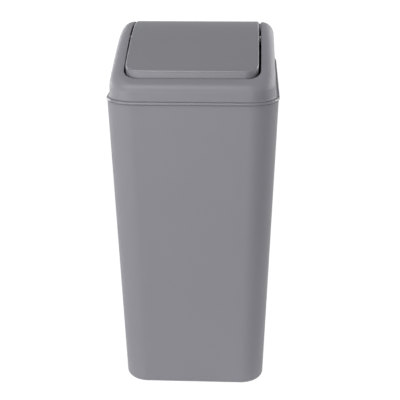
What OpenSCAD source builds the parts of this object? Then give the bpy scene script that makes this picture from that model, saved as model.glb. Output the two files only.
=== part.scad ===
// Countertop waste bin with a swing-flap lid.
// The bin is a tapered tub.  The lid frame drops into its mouth and rests on its rim.
// The flap hangs in the frame on two pins, level when nothing pushes it, and swings both ways.
// Millimetres, +Z up, origin under the middle of the bin, the front towards -Y.

/* [Bin] */
// Width over the rim of the bin, side to side
rim_w = 140; // [120:1:170]
// Depth over the rim of the bin, front to back
rim_d = 202; // [180:1:240]
// Height of the bin, up to the top of its rim
bin_h = 253.8; // [180:0.2:320]
// How far each wall leans inwards between the rim and the base
taper = 9.5; // [4:0.5:14]
// Corner radius of the wall under the rim
corner_top = 23.4; // [18:0.2:30]
// Corner radius of the wall at the base
corner_base = 19.6; // [14:0.2:26]
// Rounding between the wall and the base
base_round = 4.6; // [2.5:0.2:7]
// Thickness of the bin's walls
bin_wall = 1.6; // [1.2:0.1:2.2]
// Thickness of the bin's floor
floor_t = 2.2; // [1.6:0.1:3.5]
// Width of the foot ring that the bin stands on
foot_ring = 4; // [3:0.5:8]
// Height of the shallow recess inside the foot ring
base_lift = 2; // [1:0.2:4]
// How far the rim stands out from the wall
lip_out = 0.85; // [0.5:0.05:1.5]
// Height of the rim's outer face
lip_h = 2.0; // [1.8:0.1:2.6]
// Width of the bead on the rim, outside the rebate that the lid's ledge sits in
bead_w = 0.9; // [0.85:0.05:1.1]

/* [Lid frame] */
// Height of the frame's crown above its ledge
crown_h = 46; // [40:0.2:52]
// Slope that the frame's arch reaches towards its two ends
arch_slope = 0.519; // [0.45:0.005:0.56]
// Roundness of the frame's arch over the crown
arch_round = 19.4; // [15:0.2:25]
// Distance from the rim's outer edge to the frame's outer wall
ledge_back = 2.96; // [2.8:0.02:3.4]
// Thickness of the ledge, and depth of the rebate it sits in
ledge_t = 1.0; // [0.8:0.1:1.2]
// Gap between the ledge and the bead outside it
ledge_gap = 0.4; // [0.35:0.05:0.6]
// Radius of the frame's shoulder along its sides
shoulder_r = 9.4; // [8:0.2:10.4]
// Radius of the frame's shoulder along its two ends
shoulder_end = 4.5; // [3.5:0.1:6]
// Inward lean of the frame's side walls, as a slope
lean = 0.057; // [0.03:0.001:0.065]
// Thickness of the frame's walls
frame_wall = 1.8; // [1.4:0.1:2.2]
// Depth of the skirt that locates the frame inside the bin
skirt_h = 9; // [6:0.5:14]
// Width of the opening for the flap
open_w = 109.8; // [106:0.2:111]
// Distance from the frame's end wall to the opening
end_bar = 10.8; // [10.6:0.2:16]
// Depth of the turned-down edge round the opening
edge_h = 6; // [4:0.5:9]

/* [Flap] */
// Gap between the flap and each side of the opening
side_gap = 1.8; // [1.5:0.1:2.5]
// Gap between the flap and each end of the opening
end_gap = 1.1; // [1:0.1:2]
// Slope that the flap's arch reaches towards its two ends
flap_slope = 0.474; // [0.42:0.005:0.5]
// Roundness of the flap's arch over the crown
flap_round = 21.8; // [18:0.2:26]
// Corner radius of the flap, seen from above
flap_corner = 11; // [9:0.5:14]
// Thickness of the flap's skin and of its lip
flap_t = 1.8; // [1.4:0.1:2.4]
// Height of the lip that is turned down all round the flap
lip_down = 7.6; // [6.5:0.1:8]
// Rounding of the flap's upper edge
flap_edge = 1; // [0.6:0.1:1.4]
// How far the lips at the two ends flare outwards, down to their lower edge
lip_flare = 0.6; // [0:0.1:1]

/* [Pivots] */
// Diameter of the pins
pin_d = 5; // [4:0.2:6]
// Clearance round each pin in its socket, on the radius
pin_clear = 0.08; // [0.02:0.01:0.1]
// Depth of the pins' axis below the top of the flap
pivot_drop = 6; // [5.5:0.1:6.5]
// Diameter of the thrust pad round each pin
pad_d = 11; // [10:0.5:11]
// Height of the thrust pad towards the frame
pad_t = 1.5; // [1.2:0.1:1.5]
// Outer diameter of the socket boss on the frame
boss_d = 9.6; // [8:0.2:11]
// Height of the socket boss on the hidden side of the frame's edge
boss_t = 1.6; // [1:0.1:2]
// Distance from the pins to the pips that keep the flap centred in the opening
pip_y = 31; // [28:1:36]
// Depth of the centring pips below the top of the flap there
pip_drop = 3; // [2.8:0.1:4]
// Diameter of the centring pips
pip_d = 3; // [2:0.2:4]
// Height of the centring pips
pip_t = 0.9; // [0.6:0.1:1.2]

/* [Hidden] */

grey = [0.545, 0.545, 0.57];

// Segments of each quarter turn at a corner, and stations along a straight side
corner_steps = 12;
side_steps = 30;
// Share of even spacing in the stations, the rest gathers them at the crown
even_share = 0.6;

ledge_z = bin_h;
rest_z = bin_h - ledge_t;
wall_top_z = bin_h - lip_h;

frame_hw = rim_w / 2 - ledge_back;
frame_hd = rim_d / 2 - ledge_back;
frame_corner = corner_top + lip_out - ledge_back;

open_hw = open_w / 2;
open_hd = frame_hd - end_bar;
open_corner = frame_corner - end_bar;
edge_soft = 0.5;

flap_hw = open_hw - side_gap;
flap_hd = open_hd - end_gap;
crown_z = ledge_z + crown_h;
// The flap's crown stands a little proud of the frame's
flap_proud = 0.2;
flap_z = crown_z + flap_proud;
pivot_z = flap_z - pivot_drop;

// Tabs at the pivots: the frame's edge and the flap's lip both reach down round the pins
tab_half = 15;
tab_below = 7;

// The shoulder starts to tighten towards the ends at this distance from the crown
tighten_from = 70;

// Arches: height lost at the distance y from the crown
function sag(y, slope, round_r) = sqrt(pow(slope * y, 2) + pow(round_r, 2)) - round_r;
function frame_top(y) = crown_z - sag(y, arch_slope, arch_round);
function flap_top(y) = flap_z - sag(y, flap_slope, flap_round);

function ease(u) = u * u * (3 - 2 * u);
function shoulder(y) = shoulder_r
    + (shoulder_end - shoulder_r) * ease(max(0, min(1, (abs(y) - tighten_from) / (frame_hd - tighten_from))));

// 1 at the pivots, easing to 0 at the ends of the tabs
function tab(y) = abs(y) < tab_half ? pow(cos(90 * y / tab_half), 2) * (2 - pow(cos(90 * y / tab_half), 2)) : 0;
function frame_edge_low(y) = frame_top(y) - edge_h - tab(y) * (crown_z - edge_h - pivot_z + tab_below);
function flap_lip_low(y) = flap_top(y) - lip_down - tab(y) * (flap_z - lip_down - pivot_z + tab_below);

// Right half of a rounded rectangle, front to back, as flat points
function half_outline(hx, hy, r, steps) = concat(
    [for (i = [0:corner_steps]) let (a = -90 + 90 * i / corner_steps)
        [hx - r + r * cos(a), -hy + r + r * sin(a)]],
    steps < 2 ? [] : [for (i = [1:steps - 1]) let (u = -1 + 2 * i / steps)
        [hx, (hy - r) * (even_share * u + (1 - even_share) * pow(u, 3))]],
    [for (i = [0:corner_steps]) let (a = 90 * i / corner_steps)
        [hx - r + r * cos(a), hy - r + r * sin(a)]]);

// A closed ring of points: the outline's right half, then its left half back to the front.
// height(y) gives each point's z, and narrow is the share of width lost per millimetre of height.
function ring(hx, hy, r, height, steps = side_steps, narrow = 0) =
    let (right = half_outline(hx, hy, r, steps))
    let (n = len(right))
    let (lift = [for (p = right) [p.x * (1 - narrow * max(0, height(p.y) - ledge_z)), p.y, height(p.y)]])
    concat(lift, [for (i = [n - 1:-1:0]) [-lift[i].x, lift[i].y, lift[i].z]]);

function level(z) = function (y) z;

// A skin over a stack of rings with the same number of points.  A loop joins the last ring
// to the first, otherwise each end is closed by strips from one side to the other.
module skin(rings, loop = false) {
    n = len(rings[0]);
    m = len(rings);
    half = n / 2;
    last = (m - 1) * n;
    points = [for (r = rings) for (p = r) p];
    walls = [for (j = [0:loop ? m - 1 : m - 2]) for (i = [0:n - 1])
        let (k = (j + 1) % m, s = (i + 1) % n)
        for (t = [[j * n + i, k * n + i, k * n + s], [j * n + i, k * n + s, j * n + s]]) t];
    start_cap = [for (i = [0:half - 2]) let (l = n - 1 - i)
        for (t = [[i, i + 1, l - 1], [i, l - 1, l]]) t];
    end_cap = [for (i = [0:half - 2]) let (l = n - 1 - i)
        for (t = [[last + i, last + l, last + l - 1], [last + i, last + l - 1, last + i + 1]]) t];
    polyhedron(points, loop ? walls : concat(walls, start_cap, end_cap), convexity = 8);
}

// ---- Bin: half sizes and corner radius of the outer wall at the height z ----
function bin_in(z) = taper * (1 - z / wall_top_z);
function bin_corner(z) = corner_base + (corner_top - corner_base) * z / wall_top_z;
function bin_ring(z, inset) = ring(rim_w / 2 - lip_out - bin_in(z) - inset,
    rim_d / 2 - lip_out - bin_in(z) - inset, bin_corner(z) - inset, level(z), 1);
// Ring at the rim, given by how far it lies inside the rim's outer edge
function rim_ring(inset, z) = ring(rim_w / 2 - inset, rim_d / 2 - inset,
    corner_top + lip_out - inset, level(z), 1);

module bin() {
    inner_round = base_round - bin_wall;
    floor_z = base_lift + floor_t;
    lip_soft = 0.4;
    arc = [0:15:90];
    color(grey)
    skin(concat(
        [bin_ring(base_lift, base_round + foot_ring + base_lift), bin_ring(0, base_round + foot_ring)],
        [for (a = arc) bin_ring(base_round * (1 - cos(a)), base_round * (1 - sin(a)))],
        [bin_ring(wall_top_z, 0),
         rim_ring(lip_soft, wall_top_z),
         rim_ring(0, wall_top_z + lip_soft),
         rim_ring(0, bin_h - lip_soft),
         rim_ring(lip_soft, bin_h),
         rim_ring(bead_w, bin_h),
         rim_ring(bead_w, rest_z),
         rim_ring(lip_out + bin_wall, rest_z)],
        [for (a = arc) bin_ring(floor_z + inner_round * (1 - sin(a)), bin_wall + inner_round * (1 - cos(a)))]
    ));
}

// ---- Lid frame ----
narrow = lean / frame_hw;
// Ring on the shoulder's arc, a from 0 at the wall to 90 at the top, at the depth t in the skin
function frame_ring(a, t) = let (x_in = t + (shoulder_r - t) * (1 - cos(a)))
    let (y_in = t + (shoulder_end - t) * (1 - cos(a)))
    ring(frame_hw - x_in, frame_hd - y_in, frame_corner - (x_in + y_in) / 2,
        function (y) frame_top(y) - t - (shoulder(y) - t) * (1 - sin(a)), side_steps, narrow);
function frame_level(inset, z) = ring(frame_hw - inset, frame_hd - inset, frame_corner - inset, level(z));
function open_ring(inset, height) = ring(open_hw + inset, open_hd + inset, open_corner + inset, height);

module frame_shell() {
    arc = [0:15:90];
    // The skirt leans like the bin's wall
    skirt_in = taper * skirt_h / wall_top_z;
    ledge_out = bead_w + ledge_gap - ledge_back;
    ledge_soft = 0.3;
    skin(concat(
        [frame_level(skirt_in, bin_h - skirt_h),
         frame_level(0, rest_z),
         frame_level(ledge_out, rest_z),
         frame_level(ledge_out, ledge_z - ledge_soft),
         frame_level(ledge_out + ledge_soft, ledge_z),
         frame_level(0, ledge_z)],
        [for (a = arc) frame_ring(a, 0)],
        [open_ring(edge_soft, function (y) frame_top(y)),
         open_ring(0, function (y) frame_top(y) - edge_soft),
         open_ring(0, function (y) frame_edge_low(y)),
         open_ring(frame_wall, function (y) frame_edge_low(y)),
         open_ring(frame_wall, function (y) frame_top(y) - frame_wall - edge_soft)],
        [for (a = arc) frame_ring(90 - a, frame_wall)],
        [frame_level(frame_wall, ledge_z),
         frame_level(frame_wall + skirt_in, bin_h - skirt_h)]
    ), loop = true);
}

// Something on the right-hand pivot and its mirror image on the left-hand one.
// Its own +Z points outwards along the pins' axis, and 0 is the middle plane of the bin.
module at_pivots() {
    for (side = [0, 1])
        mirror([side, 0, 0])
            translate([0, 0, pivot_z])
                rotate([0, 90, 0])
                    children();
}

module lid_frame() {
    color(grey)
    difference() {
        union() {
            frame_shell();
            at_pivots()
                translate([0, 0, open_hw + frame_wall / 2])
                    cylinder(d = boss_d, h = frame_wall / 2 + boss_t, $fn = 48);
        }
        at_pivots()
            translate([0, 0, open_hw - 1])
                cylinder(d = pin_d + 2 * pin_clear, h = frame_wall + boss_t + 1.5, $fn = 48);
    }
}

// ---- Flap ----
// back is how far the ring lies inside the lower edge of the flared lips at the ends
function flap_ring(inset, height, back) = ring(flap_hw - inset, flap_hd - inset - back, flap_corner - inset, height);

module flap_shell() {
    arc = [0:30:90];
    inner_soft = 0.8;
    skin(concat(
        [flap_ring(flap_t + inner_soft, function (y) flap_top(y) - flap_t, lip_flare),
         flap_ring(flap_t, function (y) flap_top(y) - flap_t - inner_soft, lip_flare),
         flap_ring(flap_t, function (y) flap_lip_low(y), 0),
         flap_ring(0, function (y) flap_lip_low(y), 0)],
        [for (a = arc) let (inset = flap_edge * (1 - cos(a)), drop = flap_edge * (1 - sin(a)))
            flap_ring(inset, function (y) flap_top(y) - drop, lip_flare)]
    ));
}

// Pin with a tapered tip that springs past the frame's edge into its socket
module pin() {
    tip = 1;
    reach = side_gap + frame_wall + boss_t;
    root = flap_edge;
    rotate_extrude($fn = 48)
        polygon([[0, -root], [pad_d / 2, -root], [pad_d / 2, pad_t - 0.2], [pad_d / 2 - 0.2, pad_t],
            [pin_d / 2, pad_t], [pin_d / 2, reach - tip], [pin_d / 2 - 0.7 * tip, reach], [0, reach]]);
}

// Gusset that stiffens the tab round a pin against the flap's skin, inside the flap
module gusset() {
    web = 1.4;
    bite = 0.6;
    reach_in = 8;
    wall = flap_hw - flap_t + bite;
    skin_x = flap_t * bite - pivot_drop;
    low_x = 3;
    rotate([90, 0, 0])
        linear_extrude(web, center = true)
            polygon([[skin_x, wall], [skin_x, wall - reach_in], [low_x, wall - bite - web / 2], [low_x, wall]]);
}

// Low round pip on the outside of the flap's side lip
module pip() {
    crown = 0.4;
    root = 0.6;
    rotate_extrude($fn = 32)
        polygon([[0, -root], [pip_d / 2, -root], [pip_d / 2, pip_t - crown],
            [pip_d / 2 - crown, pip_t], [0, pip_t]]);
}

module swing_flap() {
    gusset_y = 6;
    pip_x = pivot_z - flap_top(pip_y) + pip_drop;
    color(grey)
    union() {
        flap_shell();
        at_pivots() {
            translate([0, 0, flap_hw])
                pin();
            for (y = [-gusset_y, gusset_y])
                translate([0, y, 0])
                    gusset();
            for (y = [-pip_y, pip_y])
                translate([pip_x, y, flap_hw])
                    pip();
        }
    }
}

bin();
lid_frame();
swing_flap();
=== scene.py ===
import math

import bmesh
import bpy
from mathutils import Matrix, Vector


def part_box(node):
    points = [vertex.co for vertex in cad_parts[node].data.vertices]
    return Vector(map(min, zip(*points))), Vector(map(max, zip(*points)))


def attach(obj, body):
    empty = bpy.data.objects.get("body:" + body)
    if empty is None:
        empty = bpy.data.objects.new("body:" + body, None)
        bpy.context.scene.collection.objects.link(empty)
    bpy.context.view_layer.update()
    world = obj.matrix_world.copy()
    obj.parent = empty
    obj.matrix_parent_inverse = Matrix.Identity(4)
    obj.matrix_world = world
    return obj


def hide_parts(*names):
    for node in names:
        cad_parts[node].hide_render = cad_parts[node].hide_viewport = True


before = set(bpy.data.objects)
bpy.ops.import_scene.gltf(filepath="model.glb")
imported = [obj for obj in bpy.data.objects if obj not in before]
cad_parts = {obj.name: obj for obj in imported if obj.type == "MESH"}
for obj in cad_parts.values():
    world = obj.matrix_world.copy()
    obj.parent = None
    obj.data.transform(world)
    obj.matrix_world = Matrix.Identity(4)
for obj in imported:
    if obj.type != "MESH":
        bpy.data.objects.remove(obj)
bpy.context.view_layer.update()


# ---------------------------------------------------------------------------------------
# The bin: a tapered tub of polypropylene, injection-moulded in one shot.  It stands on a
# narrow foot ring.  Its rim stands out from the wall, and carries a bead outside the
# rebate that the lid's ledge drops into.
# ---------------------------------------------------------------------------------------
MM = 0.001
rim_hx, rim_hy, rim_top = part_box("bin")[1]
rim_out = 0.85 * MM
rim_height = 2.0 * MM
rim_soft = 0.35 * MM
# The bead leans in and ends just under the ledge, and a fine groove runs below the rim:
# they draw the two thin dark lines of the photo
bead_soft = 0.2 * MM
bead_lean = 0.5 * MM
bead_width = 0.9 * MM
bead_drop = 0.4 * MM
groove = 0.35 * MM
groove_height = 0.7 * MM
groove_edge = 0.1 * MM
rebate = 1.0 * MM
rebate_edge = 0.15 * MM
wall_top = rim_top - rim_height
# How far the wall leans out from the table to the rim, and its corners at both ends
wall_lean = 9.5 * MM
wall_corner = 23.4 * MM
base_corner = 19.6 * MM
base_round = 4.6 * MM
base_recess = 2.0 * MM
recess_soft = 0.8 * MM
foot_width = 4.0 * MM
foot_edge = 0.3 * MM
bin_wall = 1.6 * MM
bin_floor = 2.2 * MM
# Narrow band beside each rounding, so that the flat face next to it is shaded flat
BAND = 0.35 * MM
# How the wall is cut into strips, outside from the foot up and inside from the rim down
OUTER_ROWS = (0.0, 0.15, 0.3, 0.5, 0.7, 0.85, 1.0)
INNER_ROWS = (1.0, 0.75, 0.5, 0.25, 0.0)
# Every piece starts from a square of half size 1 with rounded corners, whose straight sides
# are cut close to each corner, at this share of their length
START_CORNER = 0.3
CORNER_STEPS = 22
NEAR_CORNER = 0.985
# Vertices that are closer than this count as one: in the start square, and in metres
START_SNAP = 2e-5
MERGE = 2e-6
SHARP_ANGLE = math.radians(40.0)


def outline(bm, rows, through_corners=False):
    """A rounded square cut into strips at the given rows, as {vertex: key}.

    through_corners cuts it at each vertex of the corners too, right across to the other side.
    A key holds what puts the vertex on a rounded rectangle of any size: which share of the
    straight sides lies before it, and its direction round the corner.
    """
    bmesh.ops.create_grid(bm, x_segments=1, y_segments=1, size=1.0)
    bmesh.ops.bevel(
        bm, geom=bm.verts[:], offset=START_CORNER, offset_type="OFFSET", segments=CORNER_STEPS,
        profile=0.5, affect="VERTICES", material=-1,
    )
    reach = 1.0 - START_CORNER
    near_corner = NEAR_CORNER * reach
    cuts = [("x", -near_corner), ("x", near_corner), ("y", -near_corner), ("y", near_corner)]
    cuts += [("y", row * reach) for row in rows]
    if through_corners:
        cuts += [("y", y) for y in sorted({
            round(v.co.y, 5) for v in bm.verts if reach < abs(v.co.y) < 1.0 - START_SNAP})]
    for axis, at in cuts:
        along = Vector((1.0, 0.0, 0.0)) if axis == "x" else Vector((0.0, 1.0, 0.0))
        bmesh.ops.bisect_plane(
            bm, geom=bm.verts[:] + bm.edges[:] + bm.faces[:], dist=START_SNAP,
            plane_co=along * at, plane_no=along,
        )
    keys = {}
    for v in bm.verts:
        near = [max(-reach, min(reach, c)) for c in v.co[:2]]
        keys[v] = (
            near[0] / reach, near[1] / reach,
            (v.co.x - near[0]) / START_CORNER, (v.co.y - near[1]) / START_CORNER,
        )
    return keys


def lay(rim, hx, hy, corner, height, narrow=None):
    """Puts the rim on a rounded rectangle of half sizes hx and hy.

    height(y) gives its z, and narrow(z) the share of its width that is left at that height.
    """
    for v, (side_x, side_y, dir_x, dir_y) in rim.items():
        y = side_y * (hy - corner) + dir_y * corner
        z = height(y)
        x = side_x * (hx - corner) + dir_x * corner
        v.co = (x * (narrow(z) if narrow else 1.0), y, z)


def border_of(rim):
    """The part of the rim that lies on the open border, with its keys."""
    return {v: key for v, key in rim.items() if v.is_boundary or v.is_wire}


def pull(bm, rim):
    """Extrudes the border's edges and gives the new border with the same keys."""
    edges = {
        e for v in rim for e in v.link_edges
        if e.verts[0] in rim and e.verts[1] in rim and len(e.link_faces) < 2
    }
    made = bmesh.ops.extrude_edge_only(bm, edges=list(edges))["geom"]
    fresh = {g for g in made if isinstance(g, bmesh.types.BMVert)}
    return {
        e.other_vert(v): key for v, key in rim.items() for e in v.link_edges
        if e.other_vert(v) in fresh
    }


def draw_up(bm, rim, rings):
    """Lays the rim on the first ring, then pulls its border through the others.

    A ring is what lay() takes: half width, half depth, corner radius, height, narrowing.
    """
    lay(rim, *rings[0])
    rim = border_of(rim)
    for ring in rings[1:]:
        rim = pull(bm, rim)
        lay(rim, *ring)
    return rim


def level(z):
    """The height of a ring that lies flat."""
    return lambda y: z


def quarter(steps):
    """Angles of a quarter turn, both ends included."""
    return [math.radians(90.0 * i / steps) for i in range(steps + 1)]


def finish_piece(bm, name, materials, is_edge=None):
    """Turns a closed bmesh into a smooth-shaded object, with faces outwards.

    Faces for which is_edge(centre, normal) holds get the second material.
    """
    bmesh.ops.remove_doubles(bm, verts=bm.verts[:], dist=MERGE)
    bmesh.ops.recalc_face_normals(bm, faces=bm.faces[:])
    bm.normal_update()
    for face in bm.faces:
        if is_edge and is_edge(face.calc_center_median(), face.normal):
            face.material_index = 1
    mesh = bpy.data.meshes.new(name)
    bm.to_mesh(mesh)
    bm.free()
    mesh.shade_smooth()
    mesh.set_sharp_from_angle(angle=SHARP_ANGLE)
    for material in materials:
        mesh.materials.append(material)
    piece = bpy.data.objects.new(name, mesh)
    bpy.context.scene.collection.objects.link(piece)
    return piece


def linear(hex_colour):
    """An sRGB hex colour as linear RGBA."""
    parts = [int(hex_colour[i:i + 2], 16) / 255.0 for i in (1, 3, 5)]
    flat = [c / 12.92 if c <= 0.04045 else ((c + 0.055) / 1.055) ** 2.4 for c in parts]
    return (*flat, 1.0)


def empty_tree(owner):
    """The node tree of a material or world, with nothing in it."""
    owner.use_nodes = True
    owner.node_tree.nodes.clear()
    return owner.node_tree


def add_node(tree, kind, settings=None, links=None):
    """One shader node with its settings, and links given as {input: output socket}."""
    node = tree.nodes.new(kind)
    for key, value in (settings or {}).items():
        if isinstance(key, str) and hasattr(node, key):
            setattr(node, key, value)
        else:
            node.inputs[key].default_value = value
    for key, socket in (links or {}).items():
        tree.links.new(socket, node.inputs[key])
    return node


# Polypropylene copolymer, moulded in tools with a fine spark-eroded finish: a soft, even
# sheen without sharp reflections.  The grain is about 0.15 mm on the real piece; it is drawn
# at 0.6 mm so that it shows at all.  Flow in the mould leaves faint cloudy shades.
GRAIN_MM = 0.6
GRAIN_RELIEF = 0.05 * MM
CLOUD_MM = 55.0
BODY_ROUGH = 0.46
ROUGH_SPREAD = 0.03


def moulded_polypropylene(name, shade, cloud_shade, rough=BODY_ROUGH):
    material = bpy.data.materials.new(name)
    tree = empty_tree(material)
    place = add_node(tree, "ShaderNodeTexCoord")
    cloud = add_node(
        tree, "ShaderNodeTexNoise",
        {"Scale": 1000.0 / CLOUD_MM, "Detail": 3.0, "Roughness": 0.55},
        {"Vector": place.outputs["Object"]},
    )
    tint = add_node(
        tree, "ShaderNodeMix",
        {"data_type": "RGBA", 6: linear(shade), 7: linear(cloud_shade)},
        {0: cloud.outputs["Fac"]},
    )
    grain = add_node(
        tree, "ShaderNodeTexNoise",
        {"Scale": 1000.0 / GRAIN_MM, "Detail": 2.0, "Roughness": 0.6},
        {"Vector": place.outputs["Object"]},
    )
    polish = add_node(
        tree, "ShaderNodeMapRange",
        {"From Min": 0.3, "From Max": 0.7,
         "To Min": rough - ROUGH_SPREAD, "To Max": rough + ROUGH_SPREAD},
        {"Value": grain.outputs["Fac"]},
    )
    relief = add_node(
        tree, "ShaderNodeBump", {"Strength": 0.12, "Distance": GRAIN_RELIEF},
        {"Height": grain.outputs["Fac"]},
    )
    surface = add_node(
        tree, "ShaderNodeBsdfPrincipled",
        {"IOR": 1.49, "Specular IOR Level": 0.5},
        {"Base Color": tint.outputs[2], "Roughness": polish.outputs["Result"],
         "Normal": relief.outputs["Normal"]},
    )
    add_node(tree, "ShaderNodeOutputMaterial", None, {"Surface": surface.outputs["BSDF"]})
    return material


def bin_ring(z, inset):
    """A ring on the leaning wall at the height z, moved inwards by inset."""
    shrink = rim_out + wall_lean * (1.0 - z / wall_top) + inset
    corner = base_corner + (wall_corner - base_corner) * z / wall_top - inset
    return rim_hx - shrink, rim_hy - shrink, corner, level(z)


def rim_ring(z, inset):
    """A ring at the height z, inside the outer edge of the rim by inset."""
    return rim_hx - inset, rim_hy - inset, wall_corner + rim_out - inset, level(z)


def bin_rings():
    """From the recess under the base, over the foot, up to the bead and down the inside."""
    recess_side = base_round + foot_width
    rings = [bin_ring(base_recess, recess_side + recess_soft + BAND)]
    for a in quarter(4):
        rings.append(bin_ring(
            base_recess - recess_soft * (1 - math.cos(a)),
            recess_side + recess_soft * (1 - math.sin(a))))
    rings += [
        bin_ring(foot_edge, recess_side), bin_ring(0.0, recess_side - foot_edge),
        bin_ring(0.0, base_round + BAND),
    ]
    for a in reversed(quarter(12)):
        rings.append(bin_ring(base_round * (1 - math.sin(a)), base_round * (1 - math.cos(a))))
    groove_from = wall_top - groove_height - groove / 2
    wall_end = groove_from - BAND
    for share in OUTER_ROWS:
        rings.append(bin_ring(base_round + BAND + (wall_end - base_round - BAND) * share, 0.0))
    rings += [
        bin_ring(groove_from, 0.0), bin_ring(wall_top - groove_height, groove),
        bin_ring(wall_top - groove_edge, groove),
        rim_ring(wall_top, rim_out + groove - groove_edge),
    ]
    for a in quarter(4):
        rings.append(rim_ring(
            wall_top + rim_soft * (1 - math.cos(a)), rim_soft * (1 - math.sin(a))))
    bead_top = rim_top - bead_drop
    for a in quarter(3):
        rings.append(rim_ring(
            bead_top - bead_soft * (1 - math.sin(a)), bead_lean + bead_soft * (1 - math.cos(a))))
    rest_z = rim_top - rebate
    mouth = rim_out + bin_wall
    rings += [
        rim_ring(bead_top, bead_width - rebate_edge),
        rim_ring(bead_top - rebate_edge, bead_width), rim_ring(rest_z, bead_width),
        rim_ring(rest_z, mouth - rebate_edge), rim_ring(rest_z - rebate_edge, mouth),
    ]
    floor_z = base_recess + bin_floor
    inner_round = base_round - bin_wall
    for share in INNER_ROWS:
        rings.append(bin_ring(
            floor_z + inner_round + BAND + (wall_top - floor_z - inner_round - 2 * BAND) * share,
            bin_wall))
    for a in quarter(8):
        rings.append(bin_ring(
            floor_z + inner_round * (1 - math.sin(a)), bin_wall + inner_round * (1 - math.cos(a))))
    rings.append(bin_ring(floor_z, base_round + BAND))
    return rings


def build_bin():
    """One skin from the middle of the underside to the middle of the floor inside."""
    bm = bmesh.new()
    rim = draw_up(bm, outline(bm, []), bin_rings())
    bmesh.ops.edgeloop_fill(bm, edges=[
        e for e in bm.edges if e.verts[0] in rim and e.verts[1] in rim])
    return bm


BODY_SHADE = "#918F97"
BODY_CLOUD = "#8E8D94"
# The mould's fine grain stops short of small outer edges, and hands rub them smoother
EDGE_ROUGH = 0.26
smooth_from = wall_top + 0.2 * MM


def on_bead(at, out):
    """The outer side of the rim, from just above its lower edge to the top of the bead."""
    return smooth_from < at.z < rim_top - bead_drop and at.x * out.x + at.y * out.y > 0


bin_plastic = moulded_polypropylene("moulded_polypropylene_bin", BODY_SHADE, BODY_CLOUD)
bead_plastic = moulded_polypropylene(
    "moulded_polypropylene_bead", BODY_SHADE, BODY_CLOUD, rough=EDGE_ROUGH)
bin_piece = finish_piece(build_bin(), "bin_tub", [bin_plastic, bead_plastic], on_bead)
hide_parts("bin")
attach(bin_piece, "bin")


# ---------------------------------------------------------------------------------------
# The lid frame: a second polypropylene moulding, loose on the rim.  Its ledge sits in the
# bin's rebate and a skirt drops into the mouth.  The rounded shoulders arch over the crown
# round the opening, whose edge is turned down and carries the sockets of the flap's pins.
# ---------------------------------------------------------------------------------------
frame_low, frame_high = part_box("lid_frame")
crown_z = frame_high[2]
skirt_bottom = frame_low[2]
skirt_soft = 0.4 * MM
# The frame's wall stands this far inside the outer edge of the rim, and the ledge reaches
# out from its foot to a small gap behind the bead
ledge_back = 2.96 * MM
ledge_gap = 0.4 * MM
ledge_soft = 0.15 * MM
ledge_undercut = 0.5 * MM
ledge_cove = 1.1 * MM
frame_hx = rim_hx - ledge_back
frame_hy = rim_hy - ledge_back
frame_corner = wall_corner + rim_out - ledge_back
# The arch over the crown is a hyperbola: its slope far out, and how far its crown is rounded
arch_slope = 0.519
arch_round = 19.4 * MM
# The shoulder's radius along the sides and at the two ends, and where it starts to tighten
shoulder_side = 10.2 * MM
shoulder_end = 4.5 * MM
tighten_from = 82.0 * MM
# How much the side walls lean in for each metre of height
side_lean = 0.035
# The frame lies this far to the left in its play on the rim, as in the photo
lid_play = 0.3 * MM
frame_wall = 1.8 * MM
open_hx = 54.9 * MM
end_bar = 10.8 * MM
open_hy = frame_hy - end_bar
open_corner = frame_corner - end_bar
edge_depth = 6.0 * MM
edge_soft = 0.5 * MM
# The tabs round the pins, the bosses on them, and the sockets in the bosses
pivot_z = 294.0 * MM
tab_half = 15.0 * MM
tab_below = 7.0 * MM
boss_r = 4.8 * MM
boss_height = 1.6 * MM
pin_r = 2.5 * MM
pin_clear = 0.08 * MM
turned_edge = 0.2 * MM
# Rows of strips along the sides, closer together near the crown
SIDE_STRIPS = 56
CROWDING = 0.4
SIDE_ROWS = [
    (1 - CROWDING) * u + CROWDING * u ** 3
    for u in [2 * i / SIDE_STRIPS - 1 for i in range(1, SIDE_STRIPS)]
]


def sag(y, slope, round_r):
    """How far an arch has dropped at the distance y from its crown."""
    return math.hypot(slope * y, round_r) - round_r


def frame_top(y):
    return crown_z - sag(y, arch_slope, arch_round)


def shoulder(y):
    """Radius of the shoulder, which tightens from the sides to the two ends."""
    u = max(0.0, min(1.0, (abs(y) - tighten_from) / (frame_hy - tighten_from)))
    return shoulder_side + (shoulder_end - shoulder_side) * u * u * (3 - 2 * u)


def tab(y):
    """1 at the pins, easing to 0 at the ends of the tabs that reach down round them."""
    if abs(y) >= tab_half:
        return 0.0
    ease = math.cos(math.pi / 2 * y / tab_half) ** 2
    return ease * (2 - ease)


def frame_edge_low(y):
    """The lower edge of the opening's turned-down edge, tabs included."""
    return frame_top(y) - edge_depth - tab(y) * (crown_z - edge_depth - pivot_z + tab_below)


def narrowing(z):
    """The share of its width that the frame keeps at the height z, as its sides lean in."""
    return 1.0 - side_lean / frame_hx * max(0.0, z - rim_top)


def frame_arc(a, depth, extra_in=0.0, extra_down=0.0):
    """A ring on the shoulder, or under it by depth: a is 0 at the wall, 90 degrees on top."""
    x_in = depth + (shoulder_side - depth) * (1 - math.cos(a)) + extra_in
    y_in = depth + (shoulder_end - depth) * (1 - math.cos(a)) + extra_in

    def height(y):
        return frame_top(y) - depth - (shoulder(y) - depth) * (1 - math.sin(a)) - extra_down

    return frame_hx - x_in, frame_hy - y_in, frame_corner - (x_in + y_in) / 2, height, narrowing


def frame_level(z, inset):
    """A ring at the height z, inside the frame's wall by inset."""
    return frame_hx - inset, frame_hy - inset, frame_corner - inset, level(z)


def frame_opening(inset, height):
    """A ring round the opening, moved back into the frame by inset."""
    return open_hx + inset, open_hy + inset, open_corner + inset, height


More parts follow.
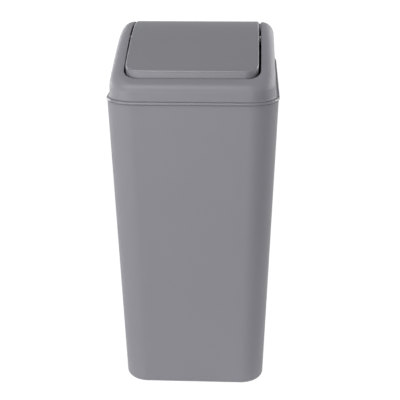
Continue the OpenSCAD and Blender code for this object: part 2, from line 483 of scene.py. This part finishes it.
def frame_rings():
    """From the foot of the skirt, up the outside, down into the opening and back inside."""
    skirt_in = wall_lean * (rim_top - skirt_bottom) / wall_top
    rest_z = rim_top - rebate
    out = bead_width + ledge_gap - ledge_back
    rings = [
        frame_level(skirt_bottom, skirt_in + skirt_soft),
        frame_level(skirt_bottom + skirt_soft, skirt_in),
        frame_level(rest_z, 0.0), frame_level(rest_z, out + ledge_undercut),
        frame_level(rim_top - ledge_soft - ledge_undercut, out + ledge_undercut),
    ]
    for a in quarter(3):
        rings.append(frame_level(
            rim_top - ledge_soft * (1 - math.sin(a)), out + ledge_soft * (1 - math.cos(a))))
    for a in quarter(4):
        rings.append(frame_level(
            rim_top + ledge_cove * (1 - math.cos(a)), -ledge_cove * (1 - math.sin(a))))
    rings.append(frame_arc(0.0, 0.0, extra_down=BAND))
    rings += [frame_arc(a, 0.0) for a in quarter(14)]
    rings.append(frame_arc(math.pi / 2, 0.0, extra_in=BAND))
    rings.append(frame_opening(edge_soft + BAND, frame_top))
    for a in quarter(5):
        rings.append(frame_opening(
            edge_soft * (1 - math.sin(a)),
            lambda y, d=edge_soft * (1 - math.cos(a)): frame_top(y) - d))
    rings += [
        frame_opening(0.0, frame_edge_low), frame_opening(frame_wall, frame_edge_low),
        frame_opening(frame_wall, lambda y: frame_top(y) - frame_wall - edge_soft),
        frame_opening(frame_wall + edge_soft, lambda y: frame_top(y) - frame_wall),
    ]
    rings += [frame_arc(a, frame_wall) for a in reversed(quarter(8))]
    rings += [
        frame_level(rim_top, frame_wall),
        frame_level(skirt_bottom + skirt_soft, frame_wall + skirt_in),
        frame_level(skirt_bottom, frame_wall + skirt_in - skirt_soft),
    ]
    return rings


def turned(bm, profile, place, steps=48):
    """Spins a profile of (radius, height) once round; place sends its +Z where it points."""
    before = set(bm.verts)
    verts = [bm.verts.new((r, 0.0, h)) for r, h in profile]
    edges = [bm.edges.new(pair) for pair in zip(verts, verts[1:])]
    bmesh.ops.spin(
        bm, geom=verts + edges, cent=(0.0, 0.0, 0.0), axis=(0.0, 0.0, 1.0),
        angle=2 * math.pi, steps=steps, use_merge=True,
    )
    made = [v for v in bm.verts if v not in before]
    bmesh.ops.transform(bm, matrix=place, verts=made)
    bmesh.ops.remove_doubles(bm, verts=made, dist=MERGE)


def on_side(side, x, y, z):
    """Where something stands on a side wall, its own +Z pointing outwards."""
    return Matrix.Translation((side * x, y, z)) @ Matrix.Rotation(side * math.pi / 2, 4, "Y")


def build_frame():
    """A skin through the frame's rings, closed on itself, and a boss with a socket each side."""
    bm = bmesh.new()
    rim = outline(bm, SIDE_ROWS, through_corners=True)
    inside = [e for e in bm.edges if not e.is_boundary]
    bmesh.ops.delete(bm, geom=bm.faces[:], context="FACES_ONLY")
    bmesh.ops.delete(bm, geom=inside, context="EDGES")
    rim = {v: key for v, key in rim.items() if v.is_valid and v.link_edges}
    bmesh.ops.delete(bm, geom=[v for v in bm.verts if not v.link_edges], context="VERTS")
    last = draw_up(bm, rim, frame_rings())
    bmesh.ops.bridge_loops(bm, edges=[
        e for e in bm.edges if len(e.link_faces) == 1 and (
            (e.verts[0] in rim and e.verts[1] in rim)
            or (e.verts[0] in last and e.verts[1] in last))
    ])
    bore = pin_r + pin_clear
    tall = frame_wall / 2 + boss_height
    for side in (-1, 1):
        turned(bm, [
            (bore, 0.0), (boss_r, 0.0), (boss_r, tall - turned_edge),
            (boss_r - turned_edge, tall), (bore + turned_edge / 2, tall),
            (bore, tall - turned_edge / 2), (bore, 0.0),
        ], on_side(side, open_hx + frame_wall / 2, 0.0, pivot_z))
    bmesh.ops.translate(bm, vec=(-lid_play, 0.0, 0.0), verts=bm.verts[:])
    return bm


lid_plastic = moulded_polypropylene("moulded_polypropylene_lid", BODY_SHADE, BODY_CLOUD)
frame_piece = finish_piece(build_frame(), "lid_frame_moulding", [lid_plastic])
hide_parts("lid_frame")
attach(frame_piece, "lid")


# ---------------------------------------------------------------------------------------
# The flap: the third moulding, an arched skin with its lip turned down all round.  Two
# pins, moulded on tabs near the crown, spring into the frame and let it swing both ways.
# Round pads and small pips on its side lips keep it centred in the opening.
# ---------------------------------------------------------------------------------------
flap_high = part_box("swing_flap")[1]
flap_z = flap_high[2]
flap_gap = 1.6 * MM
flap_hx = open_hx - flap_gap
flap_hy = flap_high[1]
flap_corner = 11.0 * MM
flap_slope = 0.480
flap_round = 21.8 * MM
flap_skin = 1.8 * MM
skin_soft = 0.8 * MM
flap_edge = 1.4 * MM
lip_depth = 7.1 * MM
lip_flare = 0.6 * MM
lip_soft = 0.35 * MM
# The flap hangs this far to the left in its side play in the frame
flap_play = 0.3 * MM
pin_tip = 1.0 * MM
pin_taper = 0.7 * MM
pad_r = 5.5 * MM
# The pad stands 0.18 mm off the frame here, so that no daylight shows past it
pad_height = 1.42 * MM
pip_y = 31.0 * MM
pip_drop = 3.0 * MM
pip_r = 1.5 * MM
pip_height = 0.9 * MM
pip_root = 0.6 * MM
# The dome of a pip, in shares of its radius and height
PIP_DOME = ((1.0, 0.5), (0.92, 0.8), (0.72, 1.0))
# A gusset stands on each side of a pin, wide under the skin and narrow down on the tab
gusset_y = 6.0 * MM
gusset_web = 1.4 * MM
gusset_root = 0.6 * MM
gusset_top = 8.0 * MM
gusset_foot = 1.3 * MM
gusset_high = flap_z - 1.08 * MM
gusset_low = pivot_z - 3.0 * MM


def flap_top(y):
    return flap_z - sag(y, flap_slope, flap_round)


def flap_lip_low(y):
    """The lower edge of the lip, tabs included."""
    return flap_top(y) - lip_depth - tab(y) * (flap_z - lip_depth - pivot_z + tab_below)


def flap_ring(inset, back, height):
    """A ring inside the flap's edge by inset, and further in by back at the flared ends."""
    return flap_hx - inset, flap_hy - inset - back, flap_corner - inset, height


def flap_rings():
    """From the skin over the rounded edge, down the lip and up inside to under the skin."""
    rings = [flap_ring(flap_edge + BAND, lip_flare, flap_top)]
    for a in quarter(6):
        rings.append(flap_ring(
            flap_edge * (1 - math.sin(a)), lip_flare,
            lambda y, d=flap_edge * (1 - math.cos(a)): flap_top(y) - d))
    rings.append(flap_ring(0.0, lip_flare, lambda y: flap_top(y) - flap_edge - BAND))
    rings.append(flap_ring(0.0, 0.0, lambda y: flap_lip_low(y) + lip_soft + BAND))
    for a in quarter(3):
        rings.append(flap_ring(
            lip_soft * (1 - math.cos(a)), 0.0,
            lambda y, d=lip_soft * (1 - math.sin(a)): flap_lip_low(y) + d))
    rings += [
        flap_ring(flap_skin - lip_soft, 0.0, flap_lip_low),
        flap_ring(flap_skin, 0.0, lambda y: flap_lip_low(y) + lip_soft),
    ]
    for a in quarter(3):
        rings.append(flap_ring(
            flap_skin + skin_soft * (1 - math.cos(a)), lip_flare,
            lambda y, d=skin_soft * (1 - math.sin(a)): flap_top(y) - flap_skin - d))
    return rings


def gusset(bm, side, y):
    """A web between the flap's skin and the tab round a pin."""
    wall = flap_hx - flap_skin + gusset_root
    corners = [
        (wall - gusset_top, gusset_high), (wall, gusset_high),
        (wall, gusset_low), (wall - gusset_foot, gusset_low),
    ]
    face = bm.faces.new([bm.verts.new((side * x, y - gusset_web / 2, z)) for x, z in corners])
    made = bmesh.ops.extrude_face_region(bm, geom=[face])["geom"]
    bmesh.ops.translate(bm, vec=(0.0, gusset_web, 0.0), verts=[
        g for g in made if isinstance(g, bmesh.types.BMVert)])


def build_flap():
    """The flap's skin and lip, closed underneath, with the pins, pads, pips and gussets."""
    bm = bmesh.new()
    rim = outline(bm, SIDE_ROWS, through_corners=True)
    twin = bmesh.ops.duplicate(bm, geom=bm.verts[:] + bm.edges[:] + bm.faces[:])["vert_map"]
    under = {twin[v]: key for v, key in rim.items()}
    rings = flap_rings()
    draw_up(bm, rim, rings)
    lay(under, *rings[-1])
    root = flap_skin / 2
    reach = open_hx - flap_hx + frame_wall + boss_height
    for side in (-1, 1):
        pad = pad_height + side * flap_play
        turned(bm, [
            (0.0, -root), (pad_r, -root), (pad_r, pad - turned_edge), (pad_r - turned_edge, pad),
            (pin_r, pad), (pin_r, reach - pin_tip), (pin_r - pin_taper, reach), (0.0, reach),
        ], on_side(side, flap_hx, 0.0, pivot_z))
        for y in (-pip_y, pip_y):
            turned(bm, [
                (0.0, -pip_root), (pip_r, -pip_root),
                *[(r * pip_r, h * pip_height) for r, h in PIP_DOME], (0.0, pip_height),
            ], on_side(side, flap_hx, y, flap_top(y) - pip_drop), steps=32)
        for y in (-gusset_y, gusset_y):
            gusset(bm, side, y)
    bmesh.ops.translate(bm, vec=(-lid_play - flap_play, 0.0, 0.0), verts=bm.verts[:])
    return bm


# The flap is the same plastic as the bin and the lid, but its colours are a little darker: painted
# shade, which darkens its top that faces up, in place of less light from above.
FLAP_TONE_WITH_PAINTED_SHADE = "#8B8B91"
FLAP_CLOUD_WITH_PAINTED_SHADE = "#88888E"
# A face counts as edge if it looks up and leans sideways or endways by at least these shares.
# The arch itself slopes endways, so the last is larger.
EDGE_UP = 0.12
EDGE_SIDEWAYS = 0.1
EDGE_ENDWAYS = 0.5


def on_flap_edge(at, out):
    """The rounded upper edge of the flap, without pins, pads and pips."""
    on_skin = abs(at.x + lid_play + flap_play) < flap_hx
    return on_skin and out.z > EDGE_UP and (
        abs(out.x) > EDGE_SIDEWAYS or abs(out.y) > EDGE_ENDWAYS)


flap_plastic = moulded_polypropylene("moulded_polypropylene_flap", FLAP_TONE_WITH_PAINTED_SHADE, FLAP_CLOUD_WITH_PAINTED_SHADE)
flap_edge_plastic = moulded_polypropylene(
    "moulded_polypropylene_flap_edge", FLAP_TONE_WITH_PAINTED_SHADE, FLAP_CLOUD_WITH_PAINTED_SHADE, rough=EDGE_ROUGH)
flap_piece = finish_piece(
    build_flap(), "flap_moulding", [flap_plastic, flap_edge_plastic], on_flap_edge)
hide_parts("swing_flap")
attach(flap_piece, "flap")


# ---------------------------------------------------------------------------------------
# The studio: a white sweep that only the camera sees as pure white, soft boxes at a plain
# level, and the camera where the photograph's was.
# ---------------------------------------------------------------------------------------
CAMERA_PITCH = 19.083
CAMERA_YAW = 3.137
CAMERA_ROLL = -0.272
CAMERA_AIM = Vector((1.16 * MM, 0.0, 138.23 * MM))
CAMERA_DISTANCE = 0.91499
LENS_MM = 90.0
SENSOR_MM = 36.0


def towards(right, up):
    """The direction that lies right of the front and above the level by these angles."""
    return Vector((
        math.sin(right) * math.cos(up), -math.cos(right) * math.cos(up), math.sin(up)))


def look_from(aim, yaw, pitch, roll, distance):
    """The matrix of a camera that looks at aim from yaw to the right and pitch above."""
    yaw, pitch, roll = (math.radians(a) for a in (yaw, pitch, roll))
    ahead = -towards(yaw, pitch)
    across = Vector((math.cos(yaw), math.sin(yaw), 0.0))
    up = across.cross(ahead)
    rolled_across = across * math.cos(roll) + up * math.sin(roll)
    rolled_up = up * math.cos(roll) - across * math.sin(roll)
    spin = Matrix((rolled_across, rolled_up, -ahead)).transposed().to_4x4()
    return Matrix.Translation(aim - ahead * distance) @ spin


camera_data = bpy.data.cameras.new("camera")
camera_data.lens = LENS_MM
camera_data.sensor_width = SENSOR_MM
camera = bpy.data.objects.new("camera", camera_data)
camera.matrix_world = look_from(
    CAMERA_AIM, CAMERA_YAW, CAMERA_PITCH, CAMERA_ROLL, CAMERA_DISTANCE)
bpy.context.scene.collection.objects.link(camera)
bpy.context.scene.camera = camera

# The lamps stand at one distance round a point inside the bin
LAMP_DISTANCE = 1.5
LAMP_AIM = Vector((0.0, 0.0, 0.17))


def soft_box(name, azimuth, elevation, width, height, power):
    """An area lamp that faces the lid.  Azimuth 0 is in front, 90 on the right."""
    away = towards(math.radians(azimuth), math.radians(elevation))
    lamp = bpy.data.lights.new(name, "AREA")
    lamp.shape = "RECTANGLE"
    lamp.size, lamp.size_y = width, height
    lamp.energy = power
    box = bpy.data.objects.new(name, lamp)
    box.matrix_world = (
        Matrix.Translation(LAMP_AIM + LAMP_DISTANCE * away)
        @ away.to_track_quat("Z", "Y").to_matrix().to_4x4())
    box.visible_camera = False
    bpy.context.scene.collection.objects.link(box)


# Azimuth and elevation in degrees, width and height in metres, and the power in watts, which
# was fitted to how bright the photo's large faces are
soft_box("lamp_front", -18.0, 6.0, 1.0, 0.6, 6.6)
soft_box("lamp_front_left", -60.0, 6.0, 0.6, 0.6, 4.3)
soft_box("lamp_above", -30.0, 62.0, 0.7, 0.6, 10.1)
soft_box("lamp_rear_left", -120.0, 6.0, 0.6, 0.6, 5.1)
soft_box("lamp_back_left", -150.0, 6.0, 0.6, 0.6, 2.3)
soft_box("lamp_right", 90.0, 6.0, 0.6, 0.6, 2.1)
soft_box("lamp_rear_right", 120.0, 18.0, 0.6, 1.0, 10.4)
soft_box("lamp_back_right", 150.0, 12.0, 0.6, 0.8, 2.5)

WHITE = (1.0, 1.0, 1.0, 1.0)
FLOOR_HALF = 3.0
# How white the sweep looks mirrored in the plastic, of 1 for the camera
SEEN_IN_GLOSS = 0.63
# Painted glow: the sweep round the foot emits light of its own, a painted pool of light that
# stands in for a sweep brightened by lamps and sheds light on the bin; and the distances from the
# bin's middle between which it fades out
FOOT_PAINTED_GLOW = 0.19
GLOW_FADES = (0.1, 0.45)
# The camera sees this share of pure white near the bin, so that a faint shadow shows, and
# all of it further away
NEAR_WHITE = 0.9
WHITE_GROWS = (0.5, 1.5)
SWEEP_WHITE = 1.08

floor_bm = bmesh.new()
bmesh.ops.create_grid(floor_bm, x_segments=1, y_segments=1, size=FLOOR_HALF)
floor_mesh = bpy.data.meshes.new("floor")
floor_bm.to_mesh(floor_mesh)
floor_bm.free()
floor = bpy.data.objects.new("floor", floor_mesh)
bpy.context.scene.collection.objects.link(floor)
floor_paint = bpy.data.materials.new("white_paper_sweep")
tree = empty_tree(floor_paint)
ray = add_node(tree, "ShaderNodeLightPath")
spot = add_node(tree, "ShaderNodeTexCoord")
away = add_node(
    tree, "ShaderNodeVectorMath", {"operation": "LENGTH"}, {0: spot.outputs["Object"]})
near = add_node(
    tree, "ShaderNodeMapRange",
    {"From Min": GLOW_FADES[0], "From Max": GLOW_FADES[1], "To Min": FOOT_PAINTED_GLOW, "To Max": 0.0},
    {"Value": away.outputs["Value"]},
)
paper = add_node(tree, "ShaderNodeBsdfDiffuse", {"Color": linear("#EDEDED")})
# Painted glow: an emission on the sweep itself, strongest next to the bin, which adds to the
# paper's own shading
painted_glow = add_node(
    tree, "ShaderNodeEmission", {"Color": WHITE}, {"Strength": near.outputs["Result"]})
paper_and_painted_glow = add_node(
    tree, "ShaderNodeAddShader", None, {0: paper.outputs["BSDF"], 1: painted_glow.outputs["Emission"]})
white = add_node(tree, "ShaderNodeEmission", {"Color": WHITE, "Strength": SWEEP_WHITE})
mirrored = add_node(
    tree, "ShaderNodeMath", {"operation": "MULTIPLY", 1: SEEN_IN_GLOSS},
    {0: ray.outputs["Is Glossy Ray"]},
)
fade = add_node(
    tree, "ShaderNodeMapRange",
    {"From Min": WHITE_GROWS[0], "From Max": WHITE_GROWS[1], "To Min": NEAR_WHITE, "To Max": 1.0},
    {"Value": away.outputs["Value"]},
)
seen = add_node(
    tree, "ShaderNodeMath", {"operation": "MULTIPLY_ADD"},
    {0: ray.outputs["Is Camera Ray"], 1: fade.outputs["Result"], 2: mirrored.outputs[0]},
)
sweep = add_node(
    tree, "ShaderNodeMixShader", None,
    {0: seen.outputs[0], 1: paper_and_painted_glow.outputs["Shader"], 2: white.outputs["Emission"]},
)
add_node(tree, "ShaderNodeOutputMaterial", None, {"Surface": sweep.outputs["Shader"]})
floor_mesh.materials.append(floor_paint)

# The world is as white as the sweep for the camera and in the gloss, and lights nothing
world = bpy.data.worlds.new("studio")
bpy.context.scene.world = world
tree = empty_tree(world)
ray = add_node(tree, "ShaderNodeLightPath")
mirrored = add_node(
    tree, "ShaderNodeMath", {"operation": "MULTIPLY", 1: SEEN_IN_GLOSS},
    {0: ray.outputs["Is Glossy Ray"]},
)
seen = add_node(
    tree, "ShaderNodeMath", {"operation": "ADD"},
    {0: ray.outputs["Is Camera Ray"], 1: mirrored.outputs[0]},
)
backdrop = add_node(
    tree, "ShaderNodeBackground", {"Color": WHITE}, {"Strength": seen.outputs[0]})
add_node(tree, "ShaderNodeOutputWorld", None, {"Surface": backdrop.outputs["Background"]})

bpy.context.scene.view_settings.view_transform = "Standard"
